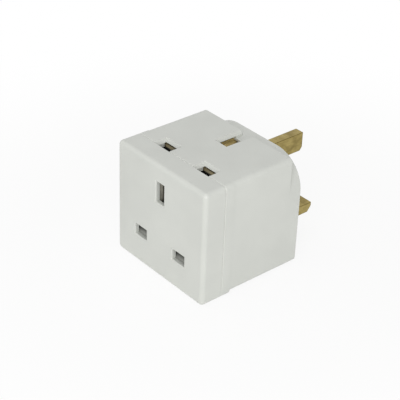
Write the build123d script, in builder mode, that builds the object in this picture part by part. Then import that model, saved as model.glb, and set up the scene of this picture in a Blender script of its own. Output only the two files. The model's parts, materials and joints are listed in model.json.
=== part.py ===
"""Two-way plug-in adaptor: a white block with one socket in front, one on top and three brass pins behind.

X runs to the right, Y to the wall and Z up. The origin lies on the plug face, midway between
the two lower pins.
"""
import os
from build123d import *

# Plug pins and their spacing
pin_pitch = 22.23
pin_thickness = 3.97
flat_pin_width = 6.35
flat_pin_reach = 17.7
earth_pin_height = 7.92
earth_pin_reach = 22.73
tip_slope = 0.75
tip_edge_bevel = 0.5
flat_tip_bevel = 2.8
earth_tip_bevel = 1.9
flange_margin = 1.6
flange_depth = 2.0
tenon_width = 3.2
tenon_thickness = 1.8
stake_margin = 0.6
stake_height = 0.8
sleeve_length = 9.5
sleeve_thickness = 0.6
pin_play = 0.15

# Housing
housing_width = 50.7
housing_height = 48.0
housing_depth = 48.0
cover_depth = 9.6
rim_depth = 4.0
side_step = 0.35
bottom_step = 0.7
underside_drop = 13.6
wall = 2.0
plug_wall = 5.0
base_depth = 6.2
base_drop = 2.2
base_corner_radius = 14.0
long_edge_radius = 2.0
front_edge_radius = 1.8
base_edge_chamfer = 0.6
seam_chamfer = 0.25
tongue_thickness = 1.2
tongue_reach = 2.5
tongue_root = 4.0
tongue_play = 0.15
rib_thickness = 2.0

# Socket slots
front_socket_lift = 0.6
top_earth_inset = 13.87
flat_slot_length = 6.9
earth_slot_length = 8.7
slot_width = 4.6
top_slot_width = 5.0
top_slot_chamfer = 1.1
top_slot_bevel_depth = 1.4
top_slot_relief = 0.6
notch_floor = 1.0
front_slot_chamfer = 0.4

# Sheet metal contacts
strip_thickness = 1.0
strip_width = 5.0
jaw_width = 10.4
leaf_thickness = 0.8
jaw_half_gap = 2.1
jaw_half_mouth = 3.0
jaw_half_root = 2.6
jaw_lead = 0.9
earth_leaf_width = 10.4
pin_end_room = 1.0
mouth_room = 0.3
rivet_radius = 1.2
rivet_head_radius = 2.1
rivet_head_height = 0.8
rivet_play = 0.3

# Shutter behind the front line and neutral slots
shutter_gap = 0.3
shutter_cover = 0.7
ramp_depth = 4.2
ramp_width = 12.8
bar_height = 3.0
hub_half_width = 3.2
hub_depth = 5.6
hub_height = 7.2
guide_thickness = 1.3
spring_radius = 1.6
wire_radius = 0.25
wire_sides = 6
spring_turns = 3.25
spring_peg_radius = 1.0
spring_peg_height = 1.5

# Case screws
post_gap = 0.4
screw_z = 9.5
screw_radius = 1.5
screw_length = 20.0
screw_tip_chamfer = 0.8
screw_head_radius = 2.7
screw_head_height = 2.0
screw_head_depth = 14.0
screw_play = 0.25
boss_wall = 1.2
recess_width = 0.9

# Places worked out from the sizes above
front_y = -housing_depth
front_inner_y = front_y + wall
seam_y = front_y + cover_depth
rim_y = seam_y + rim_depth
block_rear_y = -base_depth
block_inner_y = block_rear_y - wall
base_inner_y = -plug_wall
pocket_y = base_inner_y + flange_depth
cover_bottom_z = -underside_drop
top_z = cover_bottom_z + housing_height
top_inner_z = top_z - wall
cover_floor_z = cover_bottom_z + wall
cover_mid_z = (cover_bottom_z + top_z) / 2
body_width = housing_width - 2 * side_step
body_bottom_z = cover_bottom_z + bottom_step
body_height = top_z - body_bottom_z
body_floor_z = body_bottom_z + wall
base_top_z = top_z - base_drop
flat_x = pin_pitch / 2
earth_z = pin_pitch
front_flat_z = front_socket_lift
front_earth_z = front_socket_lift + pin_pitch
top_earth_y = -top_earth_inset
top_flat_y = top_earth_y - pin_pitch
notch_y = top_earth_y + earth_slot_length / 2
flat_web_y = front_y + flat_pin_reach + pin_end_room
earth_web_y = front_y + earth_pin_reach + pin_end_room
flat_web_z = top_z - flat_pin_reach - pin_end_room
earth_web_z = top_z - earth_pin_reach - pin_end_room
flat_flange_width = flat_pin_width + 2 * flange_margin
flat_flange_height = pin_thickness + 2 * flange_margin
earth_flange_width = pin_thickness + 2 * flange_margin
flat_leg_z = -flat_flange_height / 2 - strip_thickness
earth_leg_z = earth_web_z - leaf_thickness - strip_thickness
boss_radius = screw_head_radius + screw_play + boss_wall
pilot_radius = screw_radius + screw_play
screw_x = body_width / 2 - wall - post_gap - boss_wall - pilot_radius
tongue_top_z = screw_z - boss_radius - rib_thickness
shutter_front_y = front_inner_y + shutter_gap
shutter_rear_y = shutter_front_y + ramp_depth
guide_front_y = shutter_rear_y + shutter_gap
guide_rear_y = guide_front_y + guide_thickness
ramp_low_z = front_flat_z - slot_width / 2 - shutter_cover
ramp_high_z = front_flat_z + slot_width / 2 + shutter_cover
bar_low_z = ramp_low_z - bar_height
bar_half_length = flat_x + ramp_width / 2 + shutter_gap + guide_thickness
spring_y = shutter_front_y + hub_depth / 2
spring_top_z = bar_low_z + hub_height - wall
screw_seat_y = -screw_head_depth
boss_joint_y = screw_seat_y - screw_length / 2

# Rectangles drawn from the middle of their lower side
from_middle = (Align.CENTER, Align.MIN)

os.makedirs("parts", exist_ok=True)


def finish(name, builder):
    """Label a finished piece and write it out."""
    builder.part.label = name
    export_step(builder.part, f"parts/{name}.step")


def across(y, x=0, z=0):
    """Plane square to Y at the given point, drawn in X and Z and extruded towards the front."""
    return Plane(origin=(x, y, z), x_dir=(1, 0, 0), z_dir=(0, -1, 0))


def level(z, x=0, y=0):
    """Plane square to Z at the given point, drawn in X and Y and extruded upwards."""
    return Plane(origin=(x, y, z))


def pin_outline(start, reach, width, low_bevel, high_bevel):
    """Closed outline of a pin from its start to its tip, with a bevel of its own on each side.

    Each point is a distance along the pin and a distance to the side of its middle.
    """
    half = width / 2
    return [(start, -half), (reach - tip_slope * low_bevel, -half), (reach, low_bevel - half),
            (reach, half - high_bevel), (reach - tip_slope * high_bevel, half), (start, half)]


def jaw_outline(mouth, pinch, root, back):
    """Closed outline of a sprung jaw: two leaves that flare at the mouth and join at the back.

    Each point is a distance along the jaw and a distance to the side of its middle.
    """
    inner = [(mouth, jaw_half_mouth), (pinch, jaw_half_gap), (root, jaw_half_root)]
    outer = [(back, jaw_half_root + leaf_thickness), (pinch, jaw_half_gap + leaf_thickness),
             (mouth, jaw_half_mouth + leaf_thickness)]
    upper = outer + inner
    lower = [(along, -side) for along, side in reversed(upper)]
    return upper + lower


# Space of the top socket's line and neutral slots: front edges on the joint, bevels, wider below them
slot_front_y = top_flat_y - slot_width / 2
with BuildPart() as top_flat_slots:
    for x in (-flat_x, flat_x):
        with BuildSketch(level(top_inner_z, x, slot_front_y)):
            Rectangle(flat_slot_length + 2 * top_slot_relief, top_slot_width + top_slot_relief,
                      align=from_middle)
        extrude(amount=wall - top_slot_bevel_depth)
        with BuildSketch(level(top_z - top_slot_bevel_depth, x, slot_front_y)):
            Rectangle(flat_slot_length, top_slot_width, align=from_middle)
        with BuildSketch(level(top_z, x, slot_front_y)):
            Rectangle(flat_slot_length + 2 * top_slot_chamfer, top_slot_width + top_slot_chamfer,
                      align=from_middle)
        loft(ruled=True)

# Rear body: block, full-size rim at the seam, plug base, and the ribs and bosses inside
with BuildPart() as rear_body:
    with BuildSketch(across(block_rear_y, 0, (body_bottom_z + top_z) / 2)):
        RectangleRounded(body_width, body_height, long_edge_radius)
    extrude(amount=block_rear_y - seam_y)
    with BuildSketch(across(rim_y, 0, cover_mid_z)):
        RectangleRounded(housing_width, housing_height, long_edge_radius)
    extrude(amount=rim_y - seam_y)
    chamfer(faces().sort_by(Axis.Y)[0].edges(), seam_chamfer)
    with BuildSketch(across(0)) as base_outline:
        with Locations((0, body_bottom_z)):
            Rectangle(body_width, base_top_z - body_bottom_z, align=from_middle)
        fillet(base_outline.vertices().group_by(Axis.Y)[-1], base_corner_radius)
        fillet(base_outline.vertices().group_by(Axis.Y)[0], long_edge_radius)
    extrude(amount=base_depth)
    chamfer(faces().sort_by(Axis.Y)[-1].edges(), base_edge_chamfer)

    # Hollow of the block, open at the seam, and the shallower hollow of the plug base
    with BuildSketch(across(block_inner_y, 0, (body_floor_z + top_inner_z) / 2)):
        Rectangle(body_width - 2 * wall, top_inner_z - body_floor_z)
    extrude(amount=block_inner_y - seam_y, mode=Mode.SUBTRACT)
    with BuildSketch(across(base_inner_y)) as base_hollow:
        with Locations((0, body_floor_z)):
            Rectangle(body_width - 2 * wall, base_top_z - wall - body_floor_z,
                      align=from_middle)
        fillet(base_hollow.vertices().group_by(Axis.Y)[-1], base_corner_radius - wall)
    extrude(amount=base_inner_y - block_inner_y, mode=Mode.SUBTRACT)

    # Tongues inside the two sides that locate the front cover
    tongue_x = housing_width / 2 - wall - tongue_play - tongue_thickness / 2
    for x in (-tongue_x, tongue_x):
        with BuildSketch(across(seam_y + tongue_root, x, body_floor_z)):
            Rectangle(tongue_thickness, tongue_top_z - body_floor_z, align=from_middle)
        extrude(amount=tongue_root + tongue_reach)

    # Ribs that carry the contact strips, the middle one cut away under its rivet
    for x in (-flat_x, flat_x):
        with BuildSketch(across(block_inner_y, x, body_floor_z)):
            Rectangle(rib_thickness, flat_leg_z - body_floor_z, align=from_middle)
        extrude(amount=block_inner_y - flat_web_y - rib_thickness)
    with BuildSketch(across(block_inner_y, 0, body_floor_z)):
        Rectangle(rib_thickness, earth_leg_z - body_floor_z, align=from_middle)
    extrude(amount=block_inner_y - earth_web_y - rib_thickness)
    with BuildSketch(level(earth_leg_z, 0, top_earth_y)):
        Rectangle(2 * rib_thickness, 2 * (rivet_head_radius + rivet_play))
    extrude(amount=-(rivet_head_height + rivet_play), mode=Mode.SUBTRACT)

    # Screw bosses with their through holes and deep head recesses
    with BuildSketch(across(base_inner_y)):
        with Locations((-screw_x, screw_z), (screw_x, screw_z)):
            Circle(boss_radius)
    extrude(amount=base_inner_y - boss_joint_y)
    with BuildSketch(across(0)):
        with Locations((-screw_x, screw_z), (screw_x, screw_z)):
            Circle(pilot_radius)
    extrude(amount=-boss_joint_y, mode=Mode.SUBTRACT)
    with BuildSketch(across(0)):
        with Locations((-screw_x, screw_z), (screw_x, screw_z)):
            Circle(screw_head_radius + screw_play)
    extrude(amount=screw_head_depth, mode=Mode.SUBTRACT)

    # Holes for the three pins, with pockets inside that hold their flanges
    with BuildSketch(across(0)):
        with Locations((-flat_x, 0), (flat_x, 0)):
            Rectangle(flat_pin_width + 2 * pin_play, pin_thickness + 2 * pin_play)
        with Locations((0, earth_z)):
            Rectangle(pin_thickness + 2 * pin_play, earth_pin_height + 2 * pin_play)
    extrude(amount=plug_wall, mode=Mode.SUBTRACT)
    with BuildSketch(across(pocket_y)):
        with Locations((-flat_x, 0), (flat_x, 0)):
            Rectangle(flat_flange_width + 2 * pin_play, flat_flange_height + 2 * pin_play)
        with Locations((0, earth_z)):
            Rectangle(earth_flange_width + 2 * pin_play, earth_pin_height + 2 * pin_play)
    extrude(amount=flange_depth, mode=Mode.SUBTRACT)

    add(top_flat_slots.part, mode=Mode.SUBTRACT)

    # Top earth slot: its notch runs out through the block's rear edge, over a step level with the plug base
    with BuildSketch(level(base_top_z - notch_floor, 0, notch_y)):
        Rectangle(slot_width + 2 * rib_thickness, block_inner_y - notch_y, align=from_middle)
    extrude(amount=top_inner_z - base_top_z + notch_floor)
    with BuildSketch(level(top_inner_z, 0, top_earth_y - top_slot_relief / 2)):
        Rectangle(slot_width + 2 * top_slot_relief, earth_slot_length + top_slot_relief)
    extrude(amount=wall - top_slot_bevel_depth, mode=Mode.SUBTRACT)
    with BuildSketch(level(base_top_z, 0, notch_y)):
        Rectangle(slot_width, block_rear_y - notch_y, align=from_middle)
    extrude(amount=base_drop, mode=Mode.SUBTRACT)
    with BuildSketch(level(top_z - top_slot_bevel_depth, 0, top_earth_y - earth_slot_length / 2)):
        Rectangle(slot_width, block_rear_y - notch_y + earth_slot_length, align=from_middle)
    with BuildSketch(level(top_z, 0, top_earth_y - earth_slot_length / 2 - top_slot_chamfer)):
        Rectangle(slot_width + 2 * top_slot_chamfer,
                  block_rear_y - notch_y + earth_slot_length + top_slot_chamfer,
                  align=from_middle)
    loft(ruled=True, mode=Mode.SUBTRACT)
finish("rear_body", rear_body)

# Front cover: shallow tray with the front slots, screw posts, shutter guides and the spring's peg
with BuildPart() as front_cover:
    with BuildSketch(across(seam_y, 0, cover_mid_z)):
        RectangleRounded(housing_width, housing_height, long_edge_radius)
    extrude(amount=cover_depth)
    fillet(faces().sort_by(Axis.Y)[0].edges(), front_edge_radius)
    chamfer(faces().sort_by(Axis.Y)[-1].edges(), seam_chamfer)
    with BuildSketch(across(seam_y, 0, cover_mid_z)):
        Rectangle(housing_width - 2 * wall, housing_height - 2 * wall)
    extrude(amount=cover_depth - wall, mode=Mode.SUBTRACT)

    # Slots of the front socket with their bevelled mouths
    for x, z, length, height in (
        (-flat_x, front_flat_z, flat_slot_length, slot_width),
        (flat_x, front_flat_z, flat_slot_length, slot_width),
        (0, front_earth_z, slot_width, earth_slot_length),
    ):
        with BuildSketch(across(front_inner_y, x, z)):
            Rectangle(length, height)
        extrude(amount=wall, mode=Mode.SUBTRACT)
        with BuildSketch(across(front_y + front_slot_chamfer, x, z)):
            Rectangle(length, height)
        with BuildSketch(across(front_y, x, z)):
            Rectangle(length + 2 * front_slot_chamfer, height + 2 * front_slot_chamfer)
        loft(ruled=True, mode=Mode.SUBTRACT)
    add(top_flat_slots.part, mode=Mode.SUBTRACT)

    # Screw posts that meet the bosses of the rear body
    with BuildSketch(across(boss_joint_y)):
        with Locations((-screw_x, screw_z), (screw_x, screw_z)):
            Circle(pilot_radius + boss_wall)
    extrude(amount=boss_joint_y - front_inner_y)
    with BuildSketch(across(boss_joint_y)):
        with Locations((-screw_x, screw_z), (screw_x, screw_z)):
            Circle(pilot_radius)
    extrude(amount=screw_length / 2 + wall, mode=Mode.SUBTRACT)

    # Guides at both ends of the shutter: a side wall, a rear lip and a stop above
    guide_height = ramp_high_z - cover_floor_z
    wall_x = bar_half_length + shutter_gap + guide_thickness / 2
    lip_x = wall_x - guide_thickness
    for side in (-1, 1):
        with BuildSketch(across(guide_rear_y, side * wall_x, cover_floor_z)):
            Rectangle(guide_thickness, guide_height, align=from_middle)
        extrude(amount=guide_rear_y - front_inner_y)
        with BuildSketch(across(guide_rear_y, side * lip_x, cover_floor_z)):
            Rectangle(guide_thickness, guide_height, align=from_middle)
        extrude(amount=guide_thickness)
        with BuildSketch(across(guide_rear_y, side * lip_x, ramp_low_z)):
            Rectangle(guide_thickness, guide_thickness, align=from_middle)
        extrude(amount=guide_rear_y - front_inner_y)
    with BuildSketch(level(cover_floor_z, 0, spring_y)):
        Circle(spring_peg_radius)
    extrude(amount=spring_peg_height)
finish("front_cover", front_cover)

# Shutter: two ramps on a bar, with a hub that holds the return spring
with BuildPart() as shutter:
    for x in (-flat_x, flat_x):
        with BuildSketch(Plane.YZ.offset(x)):
            with BuildLine():
                Polyline((shutter_front_y, ramp_low_z), (shutter_rear_y, ramp_low_z),
                         (shutter_rear_y, ramp_high_z), close=True)
            make_face()
        extrude(amount=ramp_width / 2, both=True)
    with BuildSketch(level(bar_low_z, 0, shutter_front_y)):
        Rectangle(2 * bar_half_length, ramp_depth, align=from_middle)
    extrude(amount=bar_height)
    with BuildSketch(level(bar_low_z, 0, shutter_front_y)):
        Rectangle(2 * hub_half_width, hub_depth, align=from_middle)
    extrude(amount=hub_height)
    with BuildSketch(level(bar_low_z, 0, spring_y)):
        Circle(spring_radius + wire_radius + shutter_gap)
    extrude(amount=hub_height - wall, mode=Mode.SUBTRACT)
finish("shutter", shutter)

# Return spring under the shutter
spring_height = spring_top_z - cover_floor_z - 2 * wire_radius
with BuildPart() as shutter_spring:
    with BuildLine() as coil:
        Helix(spring_height / spring_turns, spring_height, spring_radius,
              center=(0, spring_y, cover_floor_z + wire_radius))
    with BuildSketch(Plane(origin=coil.line @ 0, z_dir=coil.line % 0)):
        RegularPolygon(wire_radius, wire_sides)
    sweep()
finish("shutter_spring", shutter_spring)

# Line and neutral pins, each staked to its strip behind a flange, with their insulating sleeves
for pole, x in (("neutral", -flat_x), ("line", flat_x)):
    with BuildPart() as flat_pin:
        with BuildSketch(Plane.YZ.offset(x)):
            with BuildLine():
                Polyline(pin_outline(sleeve_length, flat_pin_reach, pin_thickness,
                                     flat_tip_bevel, tip_edge_bevel), close=True)
            make_face()
        extrude(amount=flat_pin_width / 2, both=True)
        with BuildSketch(level(0, x)):
            with BuildLine():
                Polyline([(aside, along) for along, aside in pin_outline(
                    sleeve_length, flat_pin_reach, flat_pin_width,
                    tip_edge_bevel, tip_edge_bevel)], close=True)
            make_face()
        extrude(amount=pin_thickness / 2, both=True, mode=Mode.INTERSECT)
        with BuildSketch(across(sleeve_length, x)):
            Rectangle(flat_pin_width - 2 * sleeve_thickness, pin_thickness - 2 * sleeve_thickness)
        extrude(amount=sleeve_length - pocket_y)
        with BuildSketch(across(pocket_y, x)):
            Rectangle(flat_flange_width, flat_flange_height)
        extrude(amount=flange_depth)
        with BuildSketch(across(base_inner_y, x)):
            Rectangle(tenon_width, tenon_thickness)
        extrude(amount=strip_thickness)
        with BuildSketch(across(base_inner_y - strip_thickness, x)):
            Rectangle(tenon_width + 2 * stake_margin, tenon_thickness + 2 * stake_margin)
        extrude(amount=stake_height)
    finish(f"{pole}_pin", flat_pin)

    with BuildPart() as sleeve:
        with BuildSketch(across(sleeve_length, x)):
            Rectangle(flat_pin_width, pin_thickness)
            Rectangle(flat_pin_width - 2 * sleeve_thickness, pin_thickness - 2 * sleeve_thickness,
                      mode=Mode.SUBTRACT)
        extrude(amount=sleeve_length - pocket_y)
    finish(f"{pole}_pin_sleeve", sleeve)

# Earth pin, longer than the others and bare
with BuildPart() as earth_pin:
    with BuildSketch(Plane.YZ):
        with BuildLine():
            Polyline([(along, earth_z + aside) for along, aside in pin_outline(
                pocket_y, earth_pin_reach, earth_pin_height,
                earth_tip_bevel, tip_edge_bevel)], close=True)
        make_face()
    extrude(amount=pin_thickness / 2, both=True)
    with BuildSketch(level(earth_z)):
        with BuildLine():
            Polyline([(aside, along) for along, aside in pin_outline(
                pocket_y, earth_pin_reach, pin_thickness,
                tip_edge_bevel, tip_edge_bevel)], close=True)
        make_face()
    extrude(amount=earth_pin_height / 2, both=True, mode=Mode.INTERSECT)
    with BuildSketch(across(pocket_y, 0, earth_z)):
        Rectangle(earth_flange_width, earth_pin_height)
    extrude(amount=flange_depth)
    with BuildSketch(across(base_inner_y, 0, earth_z)):
        Rectangle(tenon_thickness, tenon_width)
    extrude(amount=strip_thickness)
    with BuildSketch(across(base_inner_y - strip_thickness, 0, earth_z)):
        Rectangle(tenon_thickness + 2 * stake_margin, tenon_width + 2 * stake_margin)
    extrude(amount=stake_height)
finish("earth_pin", earth_pin)


def rivet(name, plane, grip):
    """Rivet that clamps two sheets from the given plane, with a flat head on each side."""
    with BuildPart() as piece:
        with BuildSketch(plane):
            Circle(rivet_radius)
        extrude(amount=grip)
        with BuildSketch(plane, plane.offset(grip + rivet_head_height)):
            Circle(rivet_head_radius)
        extrude(amount=-rivet_head_height)
    finish(name, piece)


grip = leaf_thickness + strip_thickness

# Line and neutral contacts: a bent strip from the pin to the two jaws of each pole
for pole, x in (("neutral", -flat_x), ("line", flat_x)):
    plate_y = flat_web_y + leaf_thickness
    tab_top_z = flat_web_z - leaf_thickness
    plate_top_z = flat_flange_height / 2
    with BuildPart() as strip:
        with BuildSketch(Plane.YZ.offset(x)):
            with BuildLine():
                Polyline((top_flat_y - strip_width / 2, tab_top_z),
                         (plate_y + strip_thickness, tab_top_z),
                         (plate_y + strip_thickness, flat_leg_z + strip_thickness),
                         (base_inner_y - strip_thickness, flat_leg_z + strip_thickness),
                         (base_inner_y - strip_thickness, plate_top_z),
                         (base_inner_y, plate_top_z),
                         (base_inner_y, flat_leg_z),
                         (plate_y, flat_leg_z),
                         (plate_y, tab_top_z - strip_thickness),
                         (top_flat_y - strip_width / 2, tab_top_z - strip_thickness), close=True)
            make_face()
        extrude(amount=strip_width / 2, both=True)
        with BuildSketch(across(base_inner_y, x)):
            Rectangle(tenon_width + 2 * pin_play, tenon_thickness + 2 * pin_play)
        extrude(amount=strip_thickness, mode=Mode.SUBTRACT)
        with BuildSketch(across(plate_y + strip_thickness, x, front_flat_z)):
            Circle(rivet_radius + rivet_play)
        extrude(amount=strip_thickness, mode=Mode.SUBTRACT)
        with BuildSketch(level(tab_top_z, x, top_flat_y)):
            Circle(rivet_radius + rivet_play)
        extrude(amount=-strip_thickness, mode=Mode.SUBTRACT)
    finish(f"{pole}_strip", strip)

    jaw_mouth_y = guide_rear_y
    with BuildPart() as front_jaw:
        with BuildSketch(Plane.YZ.offset(x)):
            with BuildLine():
                Polyline([(along, front_flat_z + aside) for along, aside in jaw_outline(
                    jaw_mouth_y, jaw_mouth_y + jaw_lead, flat_web_y, plate_y)], close=True)
            make_face()
        extrude(amount=jaw_width / 2, both=True)
        with BuildSketch(across(plate_y, x, front_flat_z)):
            Circle(rivet_radius + rivet_play)
        extrude(amount=leaf_thickness, mode=Mode.SUBTRACT)
    finish(f"{pole}_front_jaw", front_jaw)
    rivet(f"{pole}_front_rivet", across(plate_y + strip_thickness, x, front_flat_z), grip)

    jaw_mouth_z = top_inner_z - mouth_room
    with BuildPart() as top_jaw:
        with BuildSketch(Plane.YZ.offset(x)):
            with BuildLine():
                Polyline([(top_flat_y + aside, along) for along, aside in jaw_outline(
                    jaw_mouth_z, jaw_mouth_z - jaw_lead, flat_web_z, tab_top_z)], close=True)
            make_face()
        extrude(amount=jaw_width / 2, both=True)
        with BuildSketch(level(tab_top_z, x, top_flat_y)):
            Circle(rivet_radius + rivet_play)
        extrude(amount=leaf_thickness, mode=Mode.SUBTRACT)
    finish(f"{pole}_top_jaw", top_jaw)
    rivet(f"{pole}_top_rivet", level(tab_top_z - strip_thickness, x, top_flat_y), grip)

# Earth contact: a trough-shaped strip with one jaw facing the front and one facing up
earth_plate_y = earth_web_y + leaf_thickness
earth_leg_top_z = earth_leg_z + strip_thickness
with BuildPart() as earth_strip:
    with BuildSketch(Plane.YZ):
        with BuildLine():
            Polyline((earth_plate_y, front_earth_z + earth_leaf_width / 2),
                     (earth_plate_y + strip_thickness, front_earth_z + earth_leaf_width / 2),
                     (earth_plate_y + strip_thickness, earth_leg_top_z),
                     (base_inner_y - strip_thickness, earth_leg_top_z),
                     (base_inner_y - strip_thickness, earth_z + strip_width / 2),
                     (base_inner_y, earth_z + strip_width / 2),
                     (base_inner_y, earth_leg_z),
                     (earth_plate_y, earth_leg_z), close=True)
        make_face()
    extrude(amount=strip_width / 2, both=True)
    with BuildSketch(across(base_inner_y, 0, earth_z)):
        Rectangle(tenon_thickness + 2 * pin_play, tenon_width + 2 * pin_play)
    extrude(amount=strip_thickness, mode=Mode.SUBTRACT)
    with BuildSketch(across(earth_plate_y + strip_thickness, 0, front_earth_z)):
        Circle(rivet_radius + rivet_play)
    extrude(amount=strip_thickness, mode=Mode.SUBTRACT)
    with BuildSketch(level(earth_leg_top_z, 0, top_earth_y)):
        Circle(rivet_radius + rivet_play)
    extrude(amount=-strip_thickness, mode=Mode.SUBTRACT)
finish("earth_strip", earth_strip)

earth_mouth_y = front_inner_y + mouth_room
with BuildPart() as earth_front_jaw:
    with BuildSketch(level(front_earth_z)):
        with BuildLine():
            Polyline([(aside, along) for along, aside in jaw_outline(
                earth_mouth_y, earth_mouth_y + jaw_lead, earth_web_y, earth_plate_y)], close=True)
        make_face()
    extrude(amount=earth_leaf_width / 2, both=True)
    with BuildSketch(across(earth_plate_y, 0, front_earth_z)):
        Circle(rivet_radius + rivet_play)
    extrude(amount=leaf_thickness, mode=Mode.SUBTRACT)
finish("earth_front_jaw", earth_front_jaw)
rivet("earth_front_rivet", across(earth_plate_y + strip_thickness, 0, front_earth_z), grip)

earth_mouth_z = base_top_z - notch_floor - mouth_room
with BuildPart() as earth_top_jaw:
    with BuildSketch(across(top_earth_y)):
        with BuildLine():
            Polyline([(aside, along) for along, aside in jaw_outline(
                earth_mouth_z, earth_mouth_z - jaw_lead, earth_web_z, earth_leg_top_z)], close=True)
        make_face()
    extrude(amount=earth_leaf_width / 2, both=True)
    with BuildSketch(level(earth_leg_top_z, 0, top_earth_y)):
        Circle(rivet_radius + rivet_play)
    extrude(amount=leaf_thickness, mode=Mode.SUBTRACT)
finish("earth_top_jaw", earth_top_jaw)
rivet("earth_top_rivet", level(earth_leg_z, 0, top_earth_y), grip)

# Two case screws driven from the plug face
for place, x in (("left", -screw_x), ("right", screw_x)):
    with BuildPart() as case_screw:
        with BuildSketch(across(screw_seat_y + screw_head_height, x, screw_z)):
            Circle(screw_head_radius)
        extrude(amount=screw_head_height)
        with BuildSketch(across(screw_seat_y, x, screw_z)):
            Circle(screw_radius)
        extrude(amount=screw_length)
        chamfer(faces().sort_by(Axis.Y)[0].edges(), screw_tip_chamfer)
        with BuildSketch(across(screw_seat_y + screw_head_height, x, screw_z)):
            Rectangle(2 * screw_radius, recess_width)
            Rectangle(recess_width, 2 * screw_radius)
        extrude(amount=screw_head_height / 2, mode=Mode.SUBTRACT)
    finish(f"case_screw_{place}", case_screw)
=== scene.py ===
"""Look of a two-way plug-in adapter: white moulded block, brass pins and contacts, in a white studio.

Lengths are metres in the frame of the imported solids: X to the right, Y to the wall, Z up.
"""
import json
import math

import bmesh
import bpy
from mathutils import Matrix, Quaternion, Vector
from mathutils.bvhtree import BVHTree

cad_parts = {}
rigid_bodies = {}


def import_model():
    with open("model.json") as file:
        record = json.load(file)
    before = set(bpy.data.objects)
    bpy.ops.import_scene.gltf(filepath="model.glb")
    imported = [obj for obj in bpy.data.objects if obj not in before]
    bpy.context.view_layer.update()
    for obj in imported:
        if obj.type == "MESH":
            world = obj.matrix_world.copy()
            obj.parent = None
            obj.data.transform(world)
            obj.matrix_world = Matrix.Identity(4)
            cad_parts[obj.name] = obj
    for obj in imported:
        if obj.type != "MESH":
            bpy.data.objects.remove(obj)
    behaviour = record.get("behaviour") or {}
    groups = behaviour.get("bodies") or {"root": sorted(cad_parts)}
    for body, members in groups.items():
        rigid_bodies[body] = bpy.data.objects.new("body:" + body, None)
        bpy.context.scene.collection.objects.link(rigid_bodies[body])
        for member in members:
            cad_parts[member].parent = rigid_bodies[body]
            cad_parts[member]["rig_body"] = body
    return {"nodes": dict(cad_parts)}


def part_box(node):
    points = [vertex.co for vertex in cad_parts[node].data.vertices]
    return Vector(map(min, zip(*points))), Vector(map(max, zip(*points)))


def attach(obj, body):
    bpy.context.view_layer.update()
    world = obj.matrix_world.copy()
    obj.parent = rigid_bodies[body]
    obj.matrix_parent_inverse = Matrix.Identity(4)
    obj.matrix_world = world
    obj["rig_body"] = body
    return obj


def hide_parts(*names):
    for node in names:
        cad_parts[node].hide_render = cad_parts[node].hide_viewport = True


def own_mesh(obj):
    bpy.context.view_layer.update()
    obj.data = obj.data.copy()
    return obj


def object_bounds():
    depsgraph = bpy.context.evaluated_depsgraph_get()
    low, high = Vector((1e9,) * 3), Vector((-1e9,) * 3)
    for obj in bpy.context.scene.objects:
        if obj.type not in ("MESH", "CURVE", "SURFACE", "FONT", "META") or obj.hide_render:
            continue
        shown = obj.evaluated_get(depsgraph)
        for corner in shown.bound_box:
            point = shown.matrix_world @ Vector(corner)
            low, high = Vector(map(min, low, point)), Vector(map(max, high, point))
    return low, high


bl_info = {
    "name": "Two-way adapter",
    "version": (1, 0, 0),
    "blender": (4, 5, 0),
    "location": "View3D > Sidebar > Adapter",
    "description": "Dresses the solids of a two-way plug-in adapter and sets up its studio",
    "category": "Object",
}

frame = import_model()
cad_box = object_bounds()

MM = 0.001
POLES = ("neutral", "line")
CONTACTS = ("earth", *POLES)
SOCKETS = ("front", "top")
HOUSING_PLASTIC = "moulded urea resin"

# Flat top slots: their length, the middle between the leaves below them, and their end walls, which start
# this far above the mouths of the jaws
SLOT_LENGTH = 6.9 * MM
SLOT_MIDDLE_Y = -36.1 * MM
SLOT_END_THICKNESS = 0.8 * MM
SLOT_END_WIDTH = 3.8 * MM
SLOT_END_RISE = 0.92 * MM

# Depths below the shutter's top where painted shade starts to grey it and where it covers it, so that the
# shutter is darker towards its top
SHUTTER_SHADE_DEPTHS = (5.9 * MM, 4.2 * MM)
# Depths below the mouths of the flat top jaws where painted shade starts to blacken the metal and where it
# covers it, for the dark gap below their lips
JAW_SHADE_DEPTHS = (0.5 * MM, 0.8 * MM)

# Vertices closer than this are one, and faces that turn less than this are flat
MERGE_DISTANCE = 1e-7
FLAT_ANGLE = math.radians(0.5)
# Edges that turn less than this are part of a smooth curve, and more than this are shaded as sharp
CURVE_ANGLE = math.radians(25)
SHARP_ANGLE = math.radians(40)
# An edge that ends in a thinner point of a face than this has no room to be rounded
POINT_ANGLE = math.radians(20)
# A face whose normal rises more than this faces up
FACING_UP = 0.9
ROUNDING_SEGMENTS = 2

# Attributes of the meshes: faces worn at a rounded edge, and the number of an edge's run
EDGE_ATTRIBUTE = "edge"
RUN_ATTRIBUTE = "run"

# Sockets of a Mix node that mixes colours
MIX_SHARE = 0
MIX_FIRST = 6
MIX_SECOND = 7
MIX_RESULT = 2

# Moulded plastic: the spread of its noise, and what its flow and grain do to tone, gloss and relief
FLOW_MM = 15
GRAIN_MM = 0.6
MOULD_NOISE = (0.3, 0.7)
FLOW_TONE = (0.965, 1.02)
GRAIN_GLOSS = 0.06
EDGE_POLISH = 0.1
GRAIN_BUMP = 0.06
GRAIN_DEPTH = 0.05 * MM
PLASTIC_IOR = 1.5

# Worked metal: the spread of its noise, and what its streaks and dull patches do to tone, gloss and relief
PATCH_NOISE = (0.4, 0.72)
PATCH_COVER = 0.75
STREAK_NOISE = (0.25, 0.75)
STREAK_TONE = (0.84, 1.1)
BRIGHT_GLOSS = 0.06
DULL_GLOSS = 0.12
STREAK_BUMP = 0.15
STREAK_DEPTH = 0.03 * MM

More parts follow.
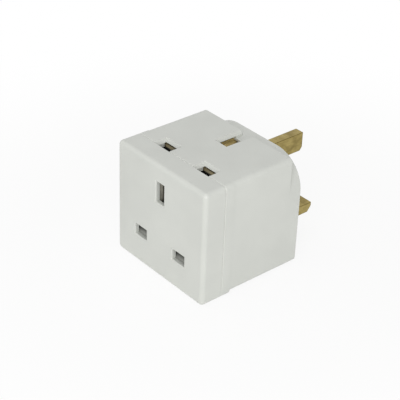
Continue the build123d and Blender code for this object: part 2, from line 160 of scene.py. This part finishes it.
# Studio: softboxes with their places and watts, light from all round, and a floor that fades from a share of
# white near the object to plain white further off
WHITE = (1, 1, 1, 1)
WHITE_STRENGTH = 1.0
AMBIENT_STRENGTH = 0.4
SOFTBOX_SIDE = 0.5
SOFTBOXES = (
    ("key softbox", (0.46, -0.44, 0.31), 2.7),
    ("fill softbox", (-0.5, -0.3, 0.35), 0.3),
    ("overhead softbox", (-0.1, -0.05, 0.7), 0.8),
)
FLOOR_HALF_SIDE = 3.0
FLOOR_FADE = (0.06, 0.2)
FLOOR_WHITE = (0.88, 1.0)

# Where the camera stood, what it looked at, and how it was tipped and framed
CAMERA_PLACE = (0.29371, -0.28578, 0.25545)
CAMERA_AIM = (-0.00222, -0.02646, 0.01113)
CAMERA_ROLL = math.radians(2.13)
CAMERA_LENS_MM = 109.92
CAMERA_CLIP = (0.01, 20)


def linear(hex_colour):
    """Linear red, green, blue and alpha of an sRGB hex colour."""
    channels = [int(hex_colour[i:i + 2], 16) / 255 for i in (1, 3, 5)]
    return [c / 12.92 if c <= 0.04045 else ((c + 0.055) / 1.055) ** 2.4 for c in channels] + [1.0]


def per_metre(millimetres):
    """Texture scale of a pattern that repeats at this many millimetres."""
    return 1 / (millimetres * MM)


class AdapterSizes(bpy.types.PropertyGroup):
    """Sizes of the finish that a user would change."""

    moulding_ease: bpy.props.FloatProperty(
        name="Moulding edge", description="Rounding of the sharp edges of the white mouldings",
        default=0.08 * MM, min=0.02 * MM, max=0.5 * MM, precision=5, unit="LENGTH")
    slot_end_depth: bpy.props.FloatProperty(
        name="Slot end depth", description="Height of the end walls below the flat top slots",
        default=1.6 * MM, min=0.4 * MM, max=1.7 * MM, precision=5, unit="LENGTH")
    pin_ease: bpy.props.FloatProperty(
        name="Pin edge", description="Rounding of the tumbled edges of the plug pins",
        default=0.14 * MM, min=0.02 * MM, max=0.6 * MM, precision=5, unit="LENGTH")
    sheet_ease: bpy.props.FloatProperty(
        name="Sheet edge", description="Rounding of the edges of the stamped contacts",
        default=0.1 * MM, min=0.02 * MM, max=0.3 * MM, precision=5, unit="LENGTH")
    lip_length: bpy.props.FloatProperty(
        name="Lip length",
        description="Length of the raised lips of the top earth jaw, clear of the notch behind",
        default=8.2 * MM, min=2 * MM, max=8.4 * MM, precision=5, unit="LENGTH")
    lip_rise: bpy.props.FloatProperty(
        name="Lip rise",
        description="Height that the lips of the top earth jaw are drawn up towards the slot",
        default=1.2 * MM, min=0.2 * MM, max=1.3 * MM, precision=5, unit="LENGTH")
    small_ease: bpy.props.FloatProperty(
        name="Small edge", description="Rounding of the edges of the sleeves and the screws",
        default=0.08 * MM, min=0.02 * MM, max=0.2 * MM, precision=5, unit="LENGTH")


class AdapterColours(bpy.types.PropertyGroup):
    """Colours of the adapter and of the studio."""

    plastic: bpy.props.FloatVectorProperty(
        name="Plastic", description="White of the two mouldings",
        default=linear("#D6D8D2"), size=4, min=0, max=1, subtype="COLOR")
    # Painted shade: greyer than the shutter's white nylon, for the shade it lies in behind the slots
    shutter: bpy.props.FloatVectorProperty(
        name="Shutter", description="Pale grey of the shutter behind the slots",
        default=linear("#BFC0BA"), size=4, min=0, max=1, subtype="COLOR")
    # Painted shade: the shutter turns this grey towards its top, where the slots' top edges shade it
    shutter_painted_shade: bpy.props.FloatVectorProperty(
        name="Shutter marks", description="Grey of the marks that pins rub into the shutter's ramps",
        default=linear("#70716C"), size=4, min=0, max=1, subtype="COLOR")
    sleeve: bpy.props.FloatVectorProperty(
        name="Sleeve", description="Black of the insulating sleeves on the pins",
        default=linear("#1E1E20"), size=4, min=0, max=1, subtype="COLOR")
    brass: bpy.props.FloatVectorProperty(
        name="Brass", description="Colour of the plug pins and the strips",
        default=linear("#A9985F"), size=4, min=0, max=1, subtype="COLOR")
    brass_tarnish: bpy.props.FloatVectorProperty(
        name="Brass tarnish", description="Colour of the dull patches and edges of the pins",
        default=linear("#6B5C2F"), size=4, min=0, max=1, subtype="COLOR")
    bronze: bpy.props.FloatVectorProperty(
        name="Bronze", description="Colour of the line and neutral top jaws",
        default=linear("#948868"), size=4, min=0, max=1, subtype="COLOR")
    bronze_tarnish: bpy.props.FloatVectorProperty(
        name="Bronze tarnish", description="Colour of the dull patches of the line and neutral top jaws",
        default=linear("#716D60"), size=4, min=0, max=1, subtype="COLOR")
    # Painted shade: the black that the line and neutral top jaws take below their lips, where the slots are
    # dark
    painted_jaw_shade: bpy.props.FloatVectorProperty(
        name="Bronze oxide",
        description="Black of the line and neutral top jaws below the lips that pins wipe",
        default=linear("#0C0B08"), size=4, min=0, max=1, subtype="COLOR")
    # Painted shade: a greyer copy of the bronze for the front jaws, whose slots are dark
    shaded_front_bronze: bpy.props.FloatVectorProperty(
        name="Dull bronze", description="Colour of the front jaws, which keep a thick tarnish",
        default=linear("#8F8C80"), size=4, min=0, max=1, subtype="COLOR")
    shaded_front_tarnish: bpy.props.FloatVectorProperty(
        name="Dull tarnish", description="Colour of the darkest patches of the front jaws",
        default=linear("#706E66"), size=4, min=0, max=1, subtype="COLOR")
    # Painted light: a brighter copy of the bronze for the top earth jaw, whose slot is well lit
    lit_earth_bronze: bpy.props.FloatVectorProperty(
        name="Wiped bronze", description="Colour of the top earth jaw, which plugs keep bright",
        default=linear("#D0BB80"), size=4, min=0, max=1, subtype="COLOR")
    lit_earth_tarnish: bpy.props.FloatVectorProperty(
        name="Wiped tarnish", description="Colour of the duller patches of the top earth jaw",
        default=linear("#A5935C"), size=4, min=0, max=1, subtype="COLOR")
    zinc: bpy.props.FloatVectorProperty(
        name="Zinc", description="Colour of the plated case screws",
        default=linear("#B9BAB6"), size=4, min=0, max=1, subtype="COLOR")
    steel: bpy.props.FloatVectorProperty(
        name="Steel", description="Colour of the return spring's wire",
        default=linear("#9C9C9E"), size=4, min=0, max=1, subtype="COLOR")
    oxide: bpy.props.FloatVectorProperty(
        name="Oxide", description="Colour of the dull patches of the screws and the spring",
        default=linear("#5E5E5C"), size=4, min=0, max=1, subtype="COLOR")
    floor: bpy.props.FloatVectorProperty(
        name="Floor", description="Colour of the studio floor",
        default=linear("#F6F6F5"), size=4, min=0, max=1, subtype="COLOR")


def add_node(tree, kind, inputs=None, **settings):
    """Add a node with its settings, and set its inputs to values or link them to sockets."""
    node = tree.nodes.new(kind)
    for name, value in settings.items():
        setattr(node, name, value)
    for name, value in (inputs or {}).items():
        if isinstance(value, bpy.types.NodeSocket):
            tree.links.new(value, node.inputs[name])
        else:
            node.inputs[name].default_value = value
    return node


def new_material(name):
    """An empty material, its node tree and its output node."""
    material = bpy.data.materials.new(name)
    material.use_nodes = True
    tree = material.node_tree
    tree.nodes.clear()
    return material, tree, add_node(tree, "ShaderNodeOutputMaterial")


def marked(tree, shade, place, marks):
    """The shade's mix node, overlaid with painted shade.

    Marks are the colour of the painted shade, and the heights where it starts to show and where it covers the
    shade.
    """
    colour, start_z, full_z = marks
    height = add_node(tree, "ShaderNodeSeparateXYZ", {"Vector": place}).outputs["Z"]
    cover = add_node(tree, "ShaderNodeMapRange", {
        "Value": height, "From Min": start_z, "From Max": full_z}, interpolation_type="SMOOTHSTEP")
    return add_node(tree, "ShaderNodeMix", {
        MIX_SHARE: cover.outputs["Result"], MIX_FIRST: shade.outputs[MIX_RESULT], MIX_SECOND: colour},
        data_type="RGBA")


def moulded_plastic(name, colour, roughness, marks=None):
    """Injection-moulded plastic: satin, very slightly uneven in tone, and polished at its edges by handling.

    Marks are painted shade, as marked() takes them.
    """
    material, tree, output = new_material(name)
    place = add_node(tree, "ShaderNodeTexCoord").outputs["Object"]
    # Slow change of tone where the melt cooled unevenly
    flow = add_node(tree, "ShaderNodeTexNoise", {
        "Vector": place, "Scale": per_metre(FLOW_MM), "Detail": 2.0})
    tone = add_node(tree, "ShaderNodeMapRange", {
        "Value": flow.outputs["Fac"], "From Min": MOULD_NOISE[0], "From Max": MOULD_NOISE[1],
        "To Min": FLOW_TONE[0], "To Max": FLOW_TONE[1]})
    shade = add_node(tree, "ShaderNodeMix", {
        MIX_SHARE: 1.0, MIX_FIRST: colour, MIX_SECOND: tone.outputs["Result"]},
        data_type="RGBA", blend_type="MULTIPLY")
    if marks:
        shade = marked(tree, shade, place, marks)
    # Fine grain of the polished mould, drawn coarser than it is so that it shows
    grain = add_node(tree, "ShaderNodeTexNoise", {
        "Vector": place, "Scale": per_metre(GRAIN_MM), "Detail": 3.0})
    gloss = add_node(tree, "ShaderNodeMapRange", {
        "Value": grain.outputs["Fac"], "From Min": MOULD_NOISE[0], "From Max": MOULD_NOISE[1],
        "To Min": roughness - GRAIN_GLOSS, "To Max": roughness + GRAIN_GLOSS})
    worn = add_node(tree, "ShaderNodeAttribute", attribute_name=EDGE_ATTRIBUTE)
    polished = add_node(tree, "ShaderNodeMath", {
        0: worn.outputs["Fac"], 1: -EDGE_POLISH, 2: gloss.outputs["Result"]}, operation="MULTIPLY_ADD")
    skin = add_node(tree, "ShaderNodeBump", {
        "Height": grain.outputs["Fac"], "Strength": GRAIN_BUMP, "Distance": GRAIN_DEPTH})
    shader = add_node(tree, "ShaderNodeBsdfPrincipled", {
        "Base Color": shade.outputs[MIX_RESULT], "Roughness": polished.outputs["Value"],
        "IOR": PLASTIC_IOR, "Normal": skin.outputs["Normal"]})
    tree.links.new(shader.outputs["BSDF"], output.inputs["Surface"])
    return material


def worked_metal(name, colour, tarnish, streak_mm, patch_mm, roughness, edge_dulling, shine=1.0, marks=None):
    """Metal with fine streaks from its working, dull tarnished patches, and edges as dull as edge_dulling.

    The streaks and the patches are as long along each axis as streak_mm and patch_mm say. Shine is the share
    of bare metal, less than 1 under a film of tarnish. Marks are painted shade, as marked() takes them.
    """
    material, tree, output = new_material(name)
    place = add_node(tree, "ShaderNodeTexCoord").outputs["Object"]
    along = add_node(tree, "ShaderNodeMapping", {
        "Vector": place, "Scale": [per_metre(length) for length in streak_mm]})
    streaks = add_node(tree, "ShaderNodeTexNoise", {
        "Vector": along.outputs["Vector"], "Scale": 1.0, "Detail": 4.0, "Roughness": 0.6})
    spread = add_node(tree, "ShaderNodeMapping", {
        "Vector": place, "Scale": [per_metre(length) for length in patch_mm]})
    patches = add_node(tree, "ShaderNodeTexNoise", {
        "Vector": spread.outputs["Vector"], "Scale": 1.0, "Detail": 3.0, "Roughness": 0.55})
    dull = add_node(tree, "ShaderNodeMapRange", {
        "Value": patches.outputs["Fac"], "From Min": PATCH_NOISE[0], "From Max": PATCH_NOISE[1],
        "To Min": 0.0, "To Max": PATCH_COVER})
    worn = add_node(tree, "ShaderNodeAttribute", attribute_name=EDGE_ATTRIBUTE)
    rim = add_node(tree, "ShaderNodeMath", {0: worn.outputs["Fac"], 1: edge_dulling}, operation="MULTIPLY")
    either = add_node(tree, "ShaderNodeMath", {
        0: dull.outputs["Result"], 1: rim.outputs["Value"]}, operation="MAXIMUM")
    stained = add_node(tree, "ShaderNodeMix", {
        MIX_SHARE: either.outputs["Value"], MIX_FIRST: colour, MIX_SECOND: tarnish}, data_type="RGBA")
    tone = add_node(tree, "ShaderNodeMapRange", {
        "Value": streaks.outputs["Fac"], "From Min": STREAK_NOISE[0], "From Max": STREAK_NOISE[1],
        "To Min": STREAK_TONE[0], "To Max": STREAK_TONE[1]})
    shade = add_node(tree, "ShaderNodeMix", {
        MIX_SHARE: 1.0, MIX_FIRST: stained.outputs[MIX_RESULT], MIX_SECOND: tone.outputs["Result"]},
        data_type="RGBA", blend_type="MULTIPLY")
    if marks:
        shade = marked(tree, shade, place, marks)
    gloss = add_node(tree, "ShaderNodeMapRange", {
        "Value": dull.outputs["Result"], "From Max": PATCH_COVER,
        "To Min": roughness - BRIGHT_GLOSS, "To Max": roughness + DULL_GLOSS})
    relief = add_node(tree, "ShaderNodeBump", {
        "Height": streaks.outputs["Fac"], "Strength": STREAK_BUMP, "Distance": STREAK_DEPTH})
    shader = add_node(tree, "ShaderNodeBsdfPrincipled", {
        "Base Color": shade.outputs[MIX_RESULT], "Metallic": shine, "Roughness": gloss.outputs["Result"],
        "Normal": relief.outputs["Normal"]})
    tree.links.new(shader.outputs["BSDF"], output.inputs["Surface"])
    return material


def seen_directly(tree):
    """Socket that is 1 for rays from the camera, from mirror-like surfaces and through clear ones."""
    path = add_node(tree, "ShaderNodeLightPath")
    first = add_node(tree, "ShaderNodeMath", {
        0: path.outputs["Is Camera Ray"], 1: path.outputs["Is Glossy Ray"]}, operation="MAXIMUM")
    both = add_node(tree, "ShaderNodeMath", {
        0: first.outputs["Value"], 1: path.outputs["Is Transmission Ray"]}, operation="MAXIMUM")
    return both.outputs["Value"]


def studio_floor(colour, middle):
    """Matt white paper that keeps a soft shadow near the object and fades to plain white."""
    material, tree, output = new_material("matt white paper")
    place = add_node(tree, "ShaderNodeTexCoord").outputs["Object"]
    away = add_node(tree, "ShaderNodeVectorMath", {0: place, 1: middle}, operation="DISTANCE")
    fade = add_node(tree, "ShaderNodeMapRange", {
        "Value": away.outputs["Value"], "From Min": FLOOR_FADE[0], "From Max": FLOOR_FADE[1],
        "To Min": FLOOR_WHITE[0], "To Max": FLOOR_WHITE[1]}, interpolation_type="SMOOTHSTEP")
    share = add_node(tree, "ShaderNodeMath", {
        0: fade.outputs["Result"], 1: seen_directly(tree)}, operation="MULTIPLY")
    paper = add_node(tree, "ShaderNodeBsdfDiffuse", {"Color": colour})
    white = add_node(tree, "ShaderNodeEmission", {"Color": WHITE, "Strength": WHITE_STRENGTH})
    mixed = add_node(tree, "ShaderNodeMixShader", {
        0: share.outputs["Value"], 1: paper.outputs[0], 2: white.outputs[0]})
    tree.links.new(mixed.outputs[0], output.inputs["Surface"])
    return material


def merged_copy(name):
    """A copy of a solid whose loose triangles are joined into whole faces."""
    mesh = frame["nodes"][name].data.copy()
    # The solid's stored normals fit none of the new faces
    mesh.attributes.remove(mesh.attributes["custom_normal"])
    shape = bmesh.new()
    shape.from_mesh(mesh)
    bpy.data.meshes.remove(mesh)
    bmesh.ops.remove_doubles(shape, verts=shape.verts, dist=MERGE_DISTANCE)
    bmesh.ops.dissolve_limit(shape, angle_limit=FLAT_ANGLE, verts=shape.verts, edges=shape.edges)
    return shape


def raised_lips(shape, middle_y, length, rise):
    """The same upright jaw with the middle stretch of its two lips drawn up towards the slot."""
    for end in (middle_y - length / 2, middle_y + length / 2):
        bmesh.ops.bisect_plane(shape, geom=[*shape.verts, *shape.edges, *shape.faces], dist=MERGE_DISTANCE,
                               plane_co=(0, end, 0), plane_no=(0, 1, 0))
    top = max(vert.co.z for vert in shape.verts)
    lips = [face for face in shape.faces
            if face.normal.z > FACING_UP and top - face.calc_center_median().z < MERGE_DISTANCE
            and abs(face.calc_center_median().y - middle_y) < length / 2]
    drawn = bmesh.ops.extrude_face_region(shape, geom=lips)["geom"]
    bmesh.ops.translate(shape, verts=[part for part in drawn if isinstance(part, bmesh.types.BMVert)],
                        vec=(0, 0, rise))
    bmesh.ops.delete(shape, geom=[face for face in lips if face.is_valid], context="FACES_ONLY")
    return shape


def stands_out(edge):
    """Whether an edge is an outer corner with room on both of its faces."""
    if not edge.is_manifold or edge.calc_face_angle_signed() < CURVE_ANGLE:
        return False
    corners = [corner for loop in edge.link_loops for corner in (loop, loop.link_loop_next)]
    return all(corner.calc_angle() > POINT_ANGLE for corner in corners)


def edge_runs(edges):
    """Sort edges into runs that touch no other run."""
    waiting = dict.fromkeys(edges)
    runs = []
    while waiting:
        run = [waiting.popitem()[0]]
        for edge in run:
            touching = [near for vert in edge.verts for near in vert.link_edges if near in waiting]
            for near in dict.fromkeys(touching):
                del waiting[near]
                run.append(near)
        runs.append(run)
    return runs


def faces_cross(shape):
    """Whether any two faces that share no corner cut through each other."""
    shape.verts.index_update()
    shape.faces.ensure_lookup_table()
    corners = [{vert.index for vert in face.verts} for face in shape.faces]
    tree = BVHTree.FromBMesh(shape)
    return any(corners[one].isdisjoint(corners[other]) for one, other in tree.overlap(tree) if one < other)


def rounded(shape, ease):
    """The same shape with its outer edges rounded and marked as worn."""
    shape.faces.layers.float.new(EDGE_ATTRIBUTE)
    run_number = shape.edges.layers.int.new(RUN_ATTRIBUTE)
    runs = edge_runs([edge for edge in shape.edges if stands_out(edge)])
    for number, run in enumerate(runs, 1):
        for edge in run:
            edge[run_number] = number
    # Each run is rounded on its own, and one that is too tight for it stays sharp
    for number in range(1, len(runs) + 1):
        trial = shape.copy()
        run_number = trial.edges.layers.int[RUN_ATTRIBUTE]
        worn = trial.faces.layers.float[EDGE_ATTRIBUTE]
        bevelled = bmesh.ops.bevel(
            trial, geom=[edge for edge in trial.edges if edge[run_number] == number], offset=ease,
            offset_type="OFFSET", affect="EDGES", segments=ROUNDING_SEGMENTS, profile=0.5, material=-1,
            clamp_overlap=True, loop_slide=True)
        for face in bevelled["faces"]:
            face[worn] = 1.0
        if faces_cross(trial):
            trial.free()
        else:
            shape.free()
            shape = trial
    shape.edges.layers.int.remove(shape.edges.layers.int[RUN_ATTRIBUTE])
    return shape


def on_body(shape, name, body, material):
    """Turn a finished bmesh into a piece that rides a body."""
    mesh = bpy.data.meshes.new(name)
    shape.to_mesh(mesh)
    shape.free()
    for face in mesh.polygons:
        face.use_smooth = True
    mesh.set_sharp_from_angle(angle=SHARP_ANGLE)
    mesh.materials.append(material)
    piece = bpy.data.objects.new(name, mesh)
    bpy.context.scene.collection.objects.link(piece)
    weighted = piece.modifiers.new("flat faces stay flat", "WEIGHTED_NORMAL")
    weighted.keep_sharp = True
    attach(piece, body)
    return piece


def placed(shape, name, material):
    """Turn a finished bmesh into the piece that stands for a solid."""
    piece = on_body(shape, f"{name}_finished", frame["nodes"][name]["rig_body"], material)
    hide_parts(name)
    return piece


def eased_copy(name, ease, material):
    """A copy of a solid with its outer edges rounded, in the solid's place."""
    return placed(rounded(merged_copy(name), ease), name, material)


class ADAPTER_OT_housing(bpy.types.Operator):
    """Finish the rear body and the front cover as white mouldings"""

    bl_idname = "adapter.housing"
    bl_label = "Mouldings"

    def execute(self, context):
        # Urea resin: hard and white with a satin gloss
        plastic = moulded_plastic(HOUSING_PLASTIC, context.scene.adapter_colours.plastic, roughness=0.34)
        for name in ("rear_body", "front_cover"):
            eased_copy(name, context.scene.adapter_sizes.moulding_ease, plastic)
        return {"FINISHED"}


class ADAPTER_OT_slot_ends(bpy.types.Operator):
    """Carry the rear body's end walls of the flat top slots down between the leaves of the jaws"""

    bl_idname = "adapter.slot_ends"
    bl_label = "Slot ends"

    def execute(self, context):
        sizes = context.scene.adapter_sizes
        plastic = bpy.data.materials[HOUSING_PLASTIC]
        body = frame["nodes"]["rear_body"]["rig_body"]
        for pole in POLES:
            low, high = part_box(f"{pole}_top_jaw")
            middle_z = high.z + SLOT_END_RISE - sizes.slot_end_depth / 2
            for end, outwards in (("left", -1), ("right", 1)):
                middle_x = (low.x + high.x) / 2 + outwards * (SLOT_LENGTH + SLOT_END_THICKNESS) / 2
                shape = bmesh.new()
                bmesh.ops.create_cube(shape, size=1.0)
                bmesh.ops.scale(shape, verts=shape.verts,
                                vec=(SLOT_END_THICKNESS, SLOT_END_WIDTH, sizes.slot_end_depth))
                bmesh.ops.translate(shape, verts=shape.verts, vec=(middle_x, SLOT_MIDDLE_Y, middle_z))
                wall = rounded(shape, sizes.moulding_ease)
                on_body(wall, f"{pole}_slot_{end}_end", body, plastic)
        return {"FINISHED"}


class ADAPTER_OT_shutter(bpy.types.Operator):
    """Finish the shutter behind the line and neutral slots"""

    bl_idname = "adapter.shutter"
    bl_label = "Shutter"

    def execute(self, context):
        colours = context.scene.adapter_colours
        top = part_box("shutter")[1].z
        # Nylon: duller than the mouldings and greyer with painted shade, which also darkens it towards its
        # top
        painted_shutter_shade = (colours.shutter_painted_shade, *(top - depth for depth in SHUTTER_SHADE_DEPTHS))
        nylon = moulded_plastic("moulded grey nylon", colours.shutter, roughness=0.5, marks=painted_shutter_shade)
        eased_copy("shutter", context.scene.adapter_sizes.moulding_ease, nylon)
        return {"FINISHED"}


class ADAPTER_OT_spring(bpy.types.Operator):
    """Finish the shutter's return spring on a mesh of its own; it keeps one length, though the real spring
    shortens as the shutter goes down
    """

    bl_idname = "adapter.spring"
    bl_label = "Return spring"

    def execute(self, context):
        colours = context.scene.adapter_colours
        # Drawn spring wire: grey, fairly bright, with fine die marks
        wire = worked_metal("drawn spring steel wire", colours.steel, colours.oxide,
                            streak_mm=(0.3, 0.3, 0.3), patch_mm=(2, 2, 2), roughness=0.35, edge_dulling=0.0)
        spring = placed(merged_copy("shutter_spring"), "shutter_spring", wire)
        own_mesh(spring)
        return {"FINISHED"}


class ADAPTER_OT_pins(bpy.types.Operator):
    """Finish the three plug pins"""

    bl_idname = "adapter.pins"
    bl_label = "Pins"

    def execute(self, context):
        colours = context.scene.adapter_colours
        # Cut from drawn bar: streaks along the pin, and broad dull stains from handling
        brass = worked_metal("drawn brass bar", colours.brass, colours.brass_tarnish,
                             streak_mm=(0.3, 6, 0.3), patch_mm=(6, 5, 4), roughness=0.4, edge_dulling=1.0)
        for pole in CONTACTS:
            eased_copy(f"{pole}_pin", context.scene.adapter_sizes.pin_ease, brass)
        return {"FINISHED"}


class ADAPTER_OT_sleeves(bpy.types.Operator):
    """Finish the insulating sleeves at the roots of the line and neutral pins"""

    bl_idname = "adapter.sleeves"
    bl_label = "Pin sleeves"

    def execute(self, context):
        ease = context.scene.adapter_sizes.small_ease
        # Black nylon: matt, with only a broad dim sheen
        nylon = moulded_plastic("moulded black nylon", context.scene.adapter_colours.sleeve, roughness=0.55)
        for pole in POLES:
            eased_copy(f"{pole}_pin_sleeve", ease, nylon)
        return {"FINISHED"}


class ADAPTER_OT_contacts(bpy.types.Operator):
    """Finish the contact strips, their sprung jaws and the rivets"""

    bl_idname = "adapter.contacts"
    bl_label = "Contacts"

    def execute(self, context):
        sizes = context.scene.adapter_sizes
        colours = context.scene.adapter_colours
        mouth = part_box("line_top_jaw")[1].z
        # Painted shade: the flat top jaws turn black below their mouths
        black = (colours.painted_jaw_shade, *(mouth - depth for depth in JAW_SHADE_DEPTHS))
        # Rolled sheet with fine streaks, as one bronze in three tones: grey with painted shade for the front
        # jaws, olive for the top line and neutral jaws, and pale gold with painted light for the top earth
        # jaw
        dull, bronze, wiped = (
            worked_metal(f"{state} phosphor bronze sheet", colour, tarnish, streak_mm=(0.4, 3, 3),
                         patch_mm=(4, 4, 4), roughness=0.6, edge_dulling=0.0, shine=0.35, marks=marks)
            for state, colour, tarnish, marks in (
                ("dull", colours.shaded_front_bronze, colours.shaded_front_tarnish, None),
                ("rolled", colours.bronze, colours.bronze_tarnish, black),
                ("wiped", colours.lit_earth_bronze, colours.lit_earth_tarnish, None)))
        # Strip: gold brown with broad dull patches
        brass = worked_metal("rolled brass strip", colours.brass, colours.brass_tarnish,
                             streak_mm=(0.4, 5, 5), patch_mm=(4, 4, 4), roughness=0.42, edge_dulling=0.3)
        for pole in CONTACTS:
            eased_copy(f"{pole}_strip", sizes.sheet_ease, brass)
            for socket in SOCKETS:
                jaw = f"{pole}_{socket}_jaw"
                if jaw == "earth_top_jaw":
                    low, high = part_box(jaw)
                    middle_y = (low.y + high.y) / 2
                    lips = raised_lips(merged_copy(jaw), middle_y, sizes.lip_length, sizes.lip_rise)
                    placed(rounded(lips, sizes.sheet_ease), jaw, wiped)
                else:
                    # The front jaws take the grey copy of the bronze, which is painted shade
                    sheet = dull if socket == "front" else bronze
                    eased_copy(jaw, sizes.sheet_ease, sheet)
                eased_copy(f"{pole}_{socket}_rivet", sizes.sheet_ease, brass)
        return {"FINISHED"}


class ADAPTER_OT_screws(bpy.types.Operator):
    """Finish the two case screws in their recesses"""

    bl_idname = "adapter.screws"
    bl_label = "Case screws"

    def execute(self, context):
        colours = context.scene.adapter_colours
        ease = context.scene.adapter_sizes.small_ease
        # Zinc plating: pale grey and soft in gloss, with cloudy patches
        zinc = worked_metal("zinc-plated steel", colours.zinc, colours.oxide,
                            streak_mm=(0.5, 0.5, 0.5), patch_mm=(2, 2, 2), roughness=0.38, edge_dulling=0.0)
        for side in ("left", "right"):
            eased_copy(f"case_screw_{side}", ease, zinc)
        return {"FINISHED"}


class ADAPTER_OT_stage(bpy.types.Operator):
    """Set up the white floor, the surrounding light, the lamps and the camera"""

    bl_idname = "adapter.stage"
    bl_label = "Studio"

    def execute(self, context):
        scene = context.scene
        low, high = cad_box
        middle = (low + high) / 2

        shape = bmesh.new()
        bmesh.ops.create_grid(shape, x_segments=1, y_segments=1, size=FLOOR_HALF_SIDE)
        bmesh.ops.translate(shape, verts=shape.verts, vec=(middle.x, middle.y, low.z))
        mesh = bpy.data.meshes.new("studio_floor")
        shape.to_mesh(mesh)
        shape.free()
        floor = bpy.data.objects.new("studio_floor", mesh)
        scene.collection.objects.link(floor)
        mesh.materials.append(studio_floor(scene.adapter_colours.floor, middle))

        world = bpy.data.worlds.new("white studio")
        world.use_nodes = True
        tree = world.node_tree
        tree.nodes.clear()
        seen = add_node(tree, "ShaderNodeBackground", {"Color": WHITE, "Strength": WHITE_STRENGTH})
        ambient = add_node(tree, "ShaderNodeBackground", {"Color": WHITE, "Strength": AMBIENT_STRENGTH})
        mixed = add_node(tree, "ShaderNodeMixShader", {
            0: seen_directly(tree), 1: ambient.outputs[0], 2: seen.outputs[0]})
        add_node(tree, "ShaderNodeOutputWorld", {"Surface": mixed.outputs[0]})
        scene.world = world

        for name, place, watts in SOFTBOXES:
            lamp = bpy.data.lights.new(name, "AREA")
            lamp.shape = "SQUARE"
            lamp.size = SOFTBOX_SIDE
            lamp.energy = watts
            holder = bpy.data.objects.new(name, lamp)
            holder.location = place
            holder.rotation_mode = "QUATERNION"
            holder.rotation_quaternion = (middle - Vector(place)).to_track_quat("-Z", "Y")
            scene.collection.objects.link(holder)

        camera = bpy.data.cameras.new("camera")
        camera.lens = CAMERA_LENS_MM
        camera.clip_start, camera.clip_end = CAMERA_CLIP
        holder = bpy.data.objects.new("camera", camera)
        holder.location = CAMERA_PLACE
        holder.rotation_mode = "QUATERNION"
        look = Vector(CAMERA_AIM) - Vector(CAMERA_PLACE)
        holder.rotation_quaternion = look.to_track_quat("-Z", "Y") @ Quaternion((0, 0, 1), CAMERA_ROLL)
        scene.collection.objects.link(holder)
        scene.camera = holder
        scene.view_settings.view_transform = "Standard"
        return {"FINISHED"}


OPERATORS = (ADAPTER_OT_housing, ADAPTER_OT_slot_ends, ADAPTER_OT_shutter, ADAPTER_OT_spring, ADAPTER_OT_pins,
             ADAPTER_OT_sleeves, ADAPTER_OT_contacts, ADAPTER_OT_screws, ADAPTER_OT_stage)


class ADAPTER_PT_build(bpy.types.Panel):
    """Lists the steps that dress the adapter"""

    bl_label = "Adapter"
    bl_space_type = "VIEW_3D"
    bl_region_type = "UI"
    bl_category = "Adapter"

    def draw(self, context):
        for group in (context.scene.adapter_sizes, context.scene.adapter_colours):
            for name in group.bl_rna.properties.keys():
                if name not in ("rna_type", "name"):
                    self.layout.prop(group, name)
        for operator in OPERATORS:
            self.layout.operator(operator.bl_idname)


CLASSES = (AdapterSizes, AdapterColours, *OPERATORS, ADAPTER_PT_build)


def register():
    for cls in CLASSES:
        bpy.utils.register_class(cls)
    bpy.types.Scene.adapter_sizes = bpy.props.PointerProperty(type=AdapterSizes)
    bpy.types.Scene.adapter_colours = bpy.props.PointerProperty(type=AdapterColours)


def unregister():
    del bpy.types.Scene.adapter_colours
    del bpy.types.Scene.adapter_sizes
    for cls in reversed(CLASSES):
        bpy.utils.unregister_class(cls)


def main():
    register()
    bpy.ops.adapter.housing()
    bpy.ops.adapter.slot_ends()
    bpy.ops.adapter.shutter()
    bpy.ops.adapter.spring()
    bpy.ops.adapter.pins()
    bpy.ops.adapter.sleeves()
    bpy.ops.adapter.contacts()
    bpy.ops.adapter.screws()
    bpy.ops.adapter.stage()


if __name__ == "__main__":
    main()
